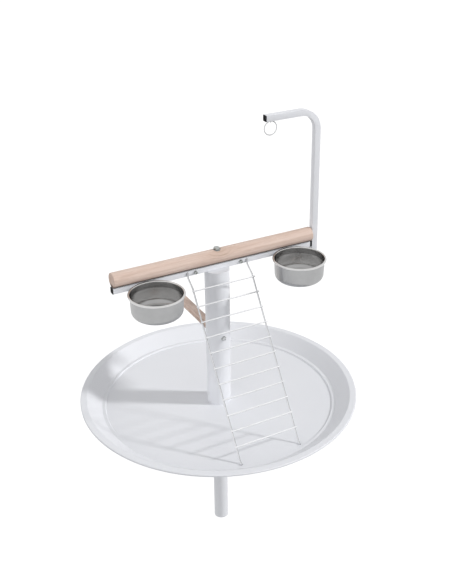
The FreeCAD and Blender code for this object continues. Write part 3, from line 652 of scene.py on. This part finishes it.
def plated(name, pale, deep, rough):
    """Zinc plate on steel: a little cloudy, with fine scratches."""
    zinc = Finish(name).set(Metallic=1.0)
    cloud = zinc.noise(zinc.place, 260.0, 3.0)
    zinc.colour(zinc.ramp(cloud, (0.3, deep), (0.7, pale)))
    scratch = zinc.noise(zinc.stretch((900.0, 900.0, 140.0), turn=(0.3, 0.5, 0.2)), 1.0, 2.0)
    zinc.gloss(zinc.level(scratch, rough, rough + 0.14))
    zinc.bump(scratch, 0.00003, 0.4)
    return zinc.material


def moulded_black(name):
    """Black plastic with the fine spark grain of its mould."""
    black = Finish(name).set(IOR=1.46, Specular_IOR_Level=0.15)
    grain = black.noise(black.place, 2600.0, 2.0)
    black.colour(black.ramp(grain, (0.35, (0.004, 0.004, 0.0045)),
                            (0.65, (0.010, 0.010, 0.011))))
    black.gloss(black.level(grain, 0.46, 0.62))
    black.bump(grain, 0.00004, 0.5)
    return black.material


# ---------------------------------------------------------------- perch and its bolt

PERCH_HEX_ACROSS = 12.0


def perch_bolt():
    """A hex bolt down through the perch, the bar and the plate in the tube's top."""
    head_height, face_radius, face_height = 4.7, 5.7, 0.25
    shank_radius, thread_radius, pitch, thread_length = 3.9, 4.0, 1.25, 22
    reach = span("perch_bolt").z / MM - head_height
    head = hex_piece("perch_bolt_turned", PERCH_HEX_ACROSS, face_height, head_height)
    face = turned("washer_face", [(face_radius, 0), (face_radius, 2 * face_height)])
    shaped(head, face, "UNION")
    thread = threaded_rod("bolt_thread", thread_radius, pitch, -reach, thread_length - reach)
    shank_end = thread_length - 0.5 - reach
    shank = turned("bolt_shank", [(shank_radius, shank_end), (shank_radius, 1)])
    bolt = merged("perch_bolt_turned", [head, shank, thread])
    settle(bolt, spot=(0, 0, high("perch_bolt").z - head_height * MM))
    return fit(smooth(bolt), "frame", zinc, "zinc_steel", "perch_bolt")


def perch_washer():
    size = span("perch_washer") / MM
    ring = washer("perch_washer_punched", size.x / 2, 4.3, size.z)
    settle(ring, spot=(0, 0, low("perch_washer").z))
    return fit(ring, "frame", zinc, "zinc_steel", "perch_washer")


def perch_nut():
    nut = hex_nut("perch_nut_turned", PERCH_HEX_ACROSS, span("perch_nut").z / MM, 4.1)
    settle(nut, spot=(0, 0, low("perch_nut").z))
    return fit(nut, "frame", zinc, "zinc_steel", "perch_nut")


# ---------------------------------------------------------------- small screws

def round_head(radius, height, dome):
    """The profile of a screw head from its seat up: straight side, rolled top edge."""
    ease = 0.2
    profile = [(radius - ease, 0), (radius, ease)]
    profile += arc(radius - dome, height - dome, dome, 0, 80, 6)
    return profile + [(radius * 0.35, height)]


def socket_screw(name, length, radius, height, dome, socket, depth, shank):
    """A round head over its seat with a six-sided socket, and its shank below.

    All are in mm, the length over head and shank, the socket across its flats, and
    the dome and the shank by their radius.
    """
    head = turned(name, round_head(radius, height, dome), 56)
    key = hex_blank("key", socket, height - depth, height + 1)
    shaped(head, key, "DIFFERENCE")
    rounded(head, 0.10 * MM, 2, 35)
    body = turned(name + "_shank", [(shank, height - length), (shank, 0.4)], 32)
    return smooth(merged(name, [head, body]))


def pair_on_bar(piece, name, node, inset):
    """The piece twice, in from both ends of a node's box along the crossbar."""
    other = copied(piece, name + "_other")
    settle(piece, spot=(low(node).x + inset * MM, 0, 0))
    settle(other, spot=(high(node).x - inset * MM, 0, 0))
    return fit(merged(name, [piece, other]), "frame", zinc, "zinc_steel", node)


def stop_screws():
    """The two socket screws through the crossbar, just inside the ladder's hooks."""
    name, node = "stop_screws_turned", "stop_screws"
    radius, height = 3.6, 5.0
    screw = socket_screw(name, span(node).y / MM, radius, height, dome=0.8, socket=3.4,
                         depth=2.2, shank=2.4)
    settle(screw, ALONG_FRONT, (0, low(node).y + height * MM, middle(node).z))
    return pair_on_bar(screw, name, node, radius)


def stop_nuts():
    name, node = "stop_nuts_turned", "stop_nuts"
    across = 8.0
    nut = hex_nut(name, across, span(node).y / MM, 2.6)
    settle(nut, ALONG_BACK, (0, low(node).y, middle(node).z))
    return pair_on_bar(nut, name, node, corner_radius(across))


def hanger_bolt():
    """The low bolt through the hanger's foot into the crossbar's end."""
    node, height = "hanger_bolt", 1.0
    bolt = socket_screw("hanger_bolt_turned", span(node).x / MM, 4.6, height, dome=0.5,
                        socket=4.0, depth=0.8, shank=2.9)
    settle(bolt, ALONG_X, (high(node).x - height * MM, 0, middle(node).z))
    return fit(bolt, "frame", zinc, "zinc_steel", node)


def back_perch_screw():
    """The screw through the tube that pulls the back perch against it."""
    node, height = "back_perch_screw", 3.6
    screw = socket_screw("back_perch_screw_turned", span(node).y / MM, 4.2, height, dome=2.0,
                         socket=3.0, depth=1.8, shank=2.9)
    settle(screw, ALONG_FRONT, (0, low(node).y + height * MM, middle(node).z))
    return fit(screw, "frame", bright_zinc, "zinc_steel", node)


def tray_screws():
    """Three pan heads under the flange, each with a cross recess."""
    pole_radius, tube_bore = 16.0, 24.5
    circle = (pole_radius + tube_bore) / 2 * MM
    radius, height, dome, shank = 3.9, 2.8, 1.6, 2.4
    recess_length, recess_width, recess_depth = 4.2, 0.9, 1.2
    reach = span("tray_screws").z / MM - height
    pieces = []
    for turn in (90, 210, 330):
        head = turned("tray_screw", round_head(radius, height, dome))
        for quarter in (0, 90):
            blade = block("blade", recess_length, recess_width, height - recess_depth,
                          height + recess_depth, quarter)
            shaped(head, blade, "DIFFERENCE")
        rounded(head, 0.08 * MM, 2)
        body = turned("tray_screw_shank", [(shank, -reach), (shank, 0.4)], 32)
        screw = merged("tray_screw", [head, body])
        spot = (circle * cos(radians(turn)), circle * sin(radians(turn)),
                low("tray_screws").z + height * MM)
        pieces.append(settle(screw, UPSIDE_DOWN, spot))
    return fit(smooth(merged("tray_screws_turned", pieces)), "frame", zinc, "zinc_steel",
               "tray_screws")


# ---------------------------------------------------------------- end caps

TUBE_SIDE = 12.7
CAP_PLUG = 9.9
CAP_FLANGE = 1.2

# the black caps, how each is turned and the axis that its face looks along
END_CAPS = (("crossbar_end_cap", ALONG_X, "x"), ("hanger_tip_cap", ALONG_X, "x"),
            ("hanger_foot_cap", None, "z"))


def stands_up(edge):
    first, last = (corner.co for corner in edge.verts)
    return abs(first.z - last.z) > 0.1 * MM


def square_cap(name, flange, plug):
    """A push-in cap that faces down: a flange with a dished face, and a ribbed plug."""
    side, corner, rim, dish = TUBE_SIDE - 0.1, 1.4, 1.5, 0.25
    head = block(name, side, side, 0, flange)
    edit(head, "EDGE")
    pick(head, "edges", stands_up)
    bpy.ops.mesh.bevel(offset=corner * MM, segments=4)
    bpy.ops.mesh.select_mode(type="FACE")
    pick(head, "faces", lambda face: face.normal.z < -0.9)
    bpy.ops.mesh.inset(thickness=rim * MM)
    bpy.ops.mesh.inset(thickness=dish * MM, depth=-dish * MM)
    done(head)
    rounded(head, 0.28 * MM, 3, 50)
    core, sunk = CAP_PLUG - 0.6, 0.2
    neck = block(name + "_plug", core, core, flange - sunk, flange + plug)
    rounded(neck, 0.6 * MM, 2)
    rib_count, first_rib, free_length, rib_width = 3, 1.4, 2.4, 0.7
    ribs = []
    for number in range(rib_count):
        base = flange + first_rib + number * (plug - free_length) / rib_count
        rib = block("rib", CAP_PLUG, CAP_PLUG, base, base + rib_width)
        ribs.append(rounded(rib, 0.25 * MM, 2))
    return smooth(merged(name, [head, neck] + ribs))


def end_caps():
    """The three black caps: left end of the crossbar, tip and foot of the hanger."""
    for node, turn, face in END_CAPS:
        plug = getattr(span(node), face) / MM - CAP_FLANGE
        cap = square_cap(node + "_moulded", CAP_FLANGE, plug)
        spot = middle(node)
        setattr(spot, face, getattr(low(node), face))
        settle(cap, turn, spot)
        fit(cap, "frame", black, "black_plastic", node)


def crossbar_insert():
    """The black block between the crossbar's end and the hanger."""
    node, flange = "crossbar_insert", 5.0
    insert = square_cap("crossbar_insert_moulded", flange, span(node).x / MM - flange)
    settle(insert, AGAINST_X, (high(node).x, 0, middle(node).z))
    return fit(insert, "frame", black, "black_plastic", node)


# ---------------------------------------------------------------- hanger and ring

def hanger():
    """The bent square tube, with the rounded corners that its rolling gives it."""
    tube = rounded(clean_copy("hanger", "hanger_bent"), 0.55 * MM, 3, 50)
    return fit(tube, "frame", white, "white_coat", "hanger")


def eye_welds():
    """The two small welds that hold the ring's eye under the arm."""
    lower, upper = low("ring_eye"), high("ring_eye")
    wire_radius, sunk = 0.8 * MM, 0.02 * MM
    profile = [(0.85, -1.3), (1.2, -0.8), (1.6, -0.35), (1.75, 0)]
    pieces = []
    for side in (lower.y + wire_radius, upper.y - wire_radius):
        bead = turned("eye_weld", profile, 32)
        pieces.append(settle(bead, spot=(middle("ring_eye").x, side, upper.z + sunk)))
    return fit(merged("eye_welds", pieces), "frame", white, "white_coat")


def back_perch():
    """The rear dowel with its free end sanded round."""
    end = high("back_perch").y
    twin = clean_copy("back_perch", "back_perch_sanded")
    edit(twin, "EDGE")
    pick(twin, "edges", lambda edge: all(abs(corner.co.y - end) < 10 * TOUCH
                                         for corner in edge.verts))
    bpy.ops.mesh.bevel(offset=1.4 * MM, segments=4)
    done(twin)
    return fit(smooth(twin), "frame", back_wood, "perch_wood", "back_perch")


# ---------------------------------------------------------------- bowls

# a pressed bowl, in mm: the radius of its wall, which draws in by the taper, the sheet's
# thickness, the depth, the outer radii of the corner and the bead, the radius of the
# floor's raised disc, and how far down the upper band inside reaches, the band that gets a
# darker painted reflection
BOWL = {"wall": 52.0, "taper": 1.2, "sheet": 0.8, "depth": 47.6, "corner": 13.0, "bead": 2.3,
        "disc": 24.0, "band": 14.0}

# a bowl is satin outside, and each of these zones gets a painted reflection: a tone that
# stands in for the part of the room it would mirror. The bead's tone is partly a polished rim
# and partly a painted highlight
PAINTED_REFLECTION_TONES = (("bead", 0.66), ("upper", 0.42), ("wall", 0.83), ("floor", 0.37))
ZONES = ["outside"] + [zone for zone, tone in PAINTED_REFLECTION_TONES]


def bowl_profile():
    """Outer bottom, corner and wall, the rolled bead, then the inside down to the floor."""
    depth, corner, bead = BOWL["depth"], BOWL["corner"], BOWL["bead"]
    disc, sheet, wall = BOWL["disc"], BOWL["sheet"], BOWL["wall"]
    half = sheet / 2
    foot = wall - BOWL["taper"]
    outer_r, inner_r, bead_r = wall + half, wall - half, wall - half + bead
    meet = sqrt(bead ** 2 - (bead_r - outer_r) ** 2)
    profile = [(disc, -depth + 0.5), (disc + 1.2, -depth + 0.08), (disc + 2.5, -depth)]
    profile += arc(foot + half - corner, -depth + corner, corner, -90, -1.4, 14)
    profile += [(outer_r - 0.12, -bead - meet - 4.0), (outer_r, -bead - meet - 0.25)]
    profile += arc(bead_r, -bead, bead, -125, 165, 26)
    profile += [(inner_r, -bead - 1.2), (inner_r - 0.15, -bead - 6.0),
                (inner_r - 0.36, -BOWL["band"])]
    inner = corner - sheet
    profile += arc(foot - half - inner, -depth + corner, inner, -1.4, -90, 14)
    return profile + [(disc + 3.5, sheet - depth), (disc + 2.2, sheet + 0.1 - depth),
                      (disc + 1.0, sheet + 0.5 - depth)]


def bowl_zone(face):
    """The zone of a bowl that a face lies in, the bowl's top being at zero."""
    bead_end, floor_end = -(2 * BOWL["bead"] + 0.3), 10.6 - BOWL["depth"]
    least_inwards, least_upwards = 0.003, 0.5
    inwards = -(face.normal.x * face.center.x + face.normal.y * face.center.y)
    height = face.center.z / MM
    if height > bead_end:
        return "bead"
    if inwards <= least_inwards and face.normal.z <= least_upwards:
        return "outside"
    if height > -BOWL["band"]:
        return "upper"
    return "floor" if height < floor_end else "wall"


def bowls():
    """Both bowls, satin outside and with a painted reflection tone for each zone of the rest.
    """
    first = turned("bowl_blank", bowl_profile(), 120)
    for side in ("left", "right"):
        spot = middle("bowl_" + side)
        spot.z = high("bowl_" + side).z
        bowl = copied(first, "bowl_%s_pressed" % side)
        satin = spun_steel("satin_steel_" + side, spot, (0.420, 0.422, 0.425), 0.30)
        fit(smooth(bowl, 50), "bowl_" + side, satin, "stainless", "bowl_" + side)
        for zone, tone in PAINTED_REFLECTION_TONES:
            colour = (tone, 0.995 * tone, 0.99 * tone)
            bowl.data.materials.append(spun_steel("%s_steel_%s" % (zone, side), spot, colour))
        for face in bowl.data.polygons:
            face.material_index = ZONES.index(bowl_zone(face))
        settle(bowl, spot=spot)
    bpy.data.objects.remove(first)


def bowl_stud(side):
    """The collar welded to the bowl and the threaded stud through the crossbar."""
    node = "bowl_stud_" + side
    foot, top, ease, mouth, free = 4.4, 4.5, 0.5, 3.4, 0.3
    thread_radius, pitch = 2.98, 1.0
    back = low(node).y
    collar_end = (low("crossbar").y - back) / MM - free
    profile = [(foot, 0)] + arc(top - ease, collar_end - ease, ease, 0, 90, 4)
    collar = turned("stud_collar", profile + [(mouth, collar_end)])
    thread = threaded_rod("stud_thread", thread_radius, pitch, collar_end - 0.5,
                          span(node).y / MM)
    stud = merged("bowl_stud_%s_threaded" % side, [collar, thread])
    settle(stud, ALONG_BACK, (middle(node).x, back, middle(node).z))
    return fit(smooth(stud), "bowl_" + side, zinc, "zinc_steel", node)


def bowl_washer(side):
    node = "bowl_washer_" + side
    size = span(node) / MM
    ring = washer("bowl_washer_%s_punched" % side, size.x / 2, 3.3, size.y)
    settle(ring, ALONG_BACK, (middle(node).x, low(node).y, middle(node).z))
    return fit(ring, "frame", zinc, "zinc_steel", node)


def wing_ear():
    """One ear: a thick disc whose lower inner edge is drawn in to the hub."""
    radius, thick, out, up = 3.6, 2.1, 7.7, 8.3
    within, below, pull = 6.6 * MM, 8.6 * MM, 3.0 * MM
    deselect()
    bpy.ops.mesh.primitive_cylinder_add(vertices=40, radius=radius * MM, depth=thick * MM,
                                        location=(out * MM, 0, up * MM),
                                        rotation=(radians(90), 0, 0))
    ear = fresh("wing_ear")
    bpy.ops.object.transform_apply(location=True, rotation=True, scale=True)
    edit(ear, "VERT")
    pick(ear, "verts", lambda corner: corner.co.x < within and corner.co.z < below)
    bpy.ops.transform.translate(value=(-pull, 0, -pull))
    return rounded(done(ear), 0.7 * MM, 4)


def wing_nut(side):
    """A cast wing nut: a coned hub and two ears with rounded edges, leaning out."""
    node = "wing_nut_" + side
    hub, length, bore = 5.2, 7.5, 3.08
    body = turned(node + "_cast", [(hub - 0.3, 0), (hub, 0.4), (hub, 1.8),
                                   (hub - 1.0, length - 0.6), (hub - 1.5, length)])
    ear = wing_ear()
    other = settle(copied(ear, "wing_ear_other"), HALF_ROUND)
    shaped(body, ear, "UNION")
    shaped(body, other, "UNION")
    shaped(body, nut_drill(bore, length, 0.52), "DIFFERENCE")
    settle(body, ALONG_BACK, (middle(node).x, low(node).y, middle(node).z))
    return fit(smooth(body, 30), node, zinc, "zinc_steel", node)


# ---------------------------------------------------------------- ladder

RUNGS = 11
LADDER_SLOPE = radians(57.0)


def ladder_rungs():
    """Cut wires with softened ends, each welded to both rails and coated over."""
    down = Vector((0, -cos(LADDER_SLOPE), -sin(LADDER_SLOPE)))
    into = Vector((0, sin(LADDER_SLOPE), -cos(LADDER_SLOPE)))
    lie = Matrix((Vector((1, 0, 0)), into, down)).transposed().to_4x4()
    weld_size = (1.75 * MM, 1.25 * MM, 2.0 * MM)
    sink = into * span("ladder_rail_left").x / 2 * 0.85
    ease = 0.45
    for number in range(1, RUNGS + 1):
        node = "rung_%02d" % number
        centre = middle(node)
        radius, length = span(node).z / 2 / MM, span(node).x / MM
        core = radius - ease
        profile = [(core, 0)] + arc(core, ease, ease, -70, 0, 3)
        profile += arc(core, length - ease, ease, 0, 70, 3) + [(core, length)]
        wire = turned(node + "_wire", profile, 24)
        pieces = [settle(wire, ALONG_X, (low(node).x, centre.y, centre.z))]
        for side in ("left", "right"):
            deselect()
            bpy.ops.mesh.primitive_uv_sphere_add(segments=20, ring_count=12, radius=1.0)
            weld = fresh("weld")
            edit(weld, "VERT", "SELECT")
            bpy.ops.transform.resize(value=weld_size)
            done(weld)
            rail = Vector((middle("ladder_rail_" + side).x, centre.y, centre.z))
            pieces.append(settle(weld, lie, rail + sink))
        fit(smooth(merged(node + "_wire", pieces)), "ladder", rung_white, "plated_wire", node)


# ---------------------------------------------------------------- run

photo_camera()
studio_air(0.43)
studio_lamp("key_lamp", 2, 34, 5, 1.86)
studio_lamp("near_right_fill", 50, 12, 50, 0.58)
studio_lamp("left_fill", 180, 15, 50, 0.57)
studio_lamp("front_fill", 125, 20, 50, 0.55)
studio_lamp("back_fill", 270, 35, 50, 0.12)
studio_floor(-0.9)

white = powder_coat("white_powder_coat", (0.815, 0.825, 0.858), (0.795, 0.805, 0.838),
                    420.0, 0.00006)
# painted shade on the wires: the third colour on the rungs' undersides and on the rails' +X
# sides
rung_white = wire_coat("rung_wire_coat", (0.90, 0.905, 0.92), (0.86, 0.865, 0.88),
                       (0.42, 0.425, 0.44), (0.62, 0.25, -0.74), -0.30, 0.25)
rail_white = wire_coat("rail_wire_coat", (0.88, 0.885, 0.90), (0.84, 0.845, 0.86),
                       (0.36, 0.364, 0.375), (1.0, 0.0, 0.0), -0.28, 0.05)
wood = beech("beech", (0, 0, 0), Vector((0.004, -0.013, 0.681)), high("crossbar").z)
back_wood = beech("back_beech", (0, 0, radians(90)), Vector((0.0, 0.16, 0.50)), 0.0)
zinc = plated("zinc", (0.50, 0.515, 0.505), (0.36, 0.375, 0.365), 0.28)
bright_zinc = plated("bright_zinc", (0.74, 0.75, 0.76), (0.62, 0.63, 0.64), 0.30)
black = moulded_black("moulded_black")

# what the CAD nodes wear, by slot. The bowls are replaced, so their slot has no steel here
SLOT_FINISH = {"white_coat": white, "perch_wood": wood, "stainless": zinc,
               "zinc_steel": zinc, "plated_wire": rail_white, "black_plastic": black}
for part in frame["record"]["subparts"]:
    obj = frame["nodes"][part["node"]]
    finish = SLOT_FINISH[part["material_slot"]]
    for holder in obj.material_slots:
        holder.material = finish
    if not obj.material_slots:
        obj.data.materials.append(finish)

perch_bolt()
perch_washer()
perch_nut()
stop_screws()
stop_nuts()
hanger_bolt()
back_perch_screw()
tray_screws()
end_caps()
crossbar_insert()
hanger()
eye_welds()
back_perch()
bowls()
for side in ("left", "right"):
    bowl_stud(side)
    bowl_washer(side)
    wing_nut(side)
ladder_rungs()

scene.view_settings.view_transform = "Standard"
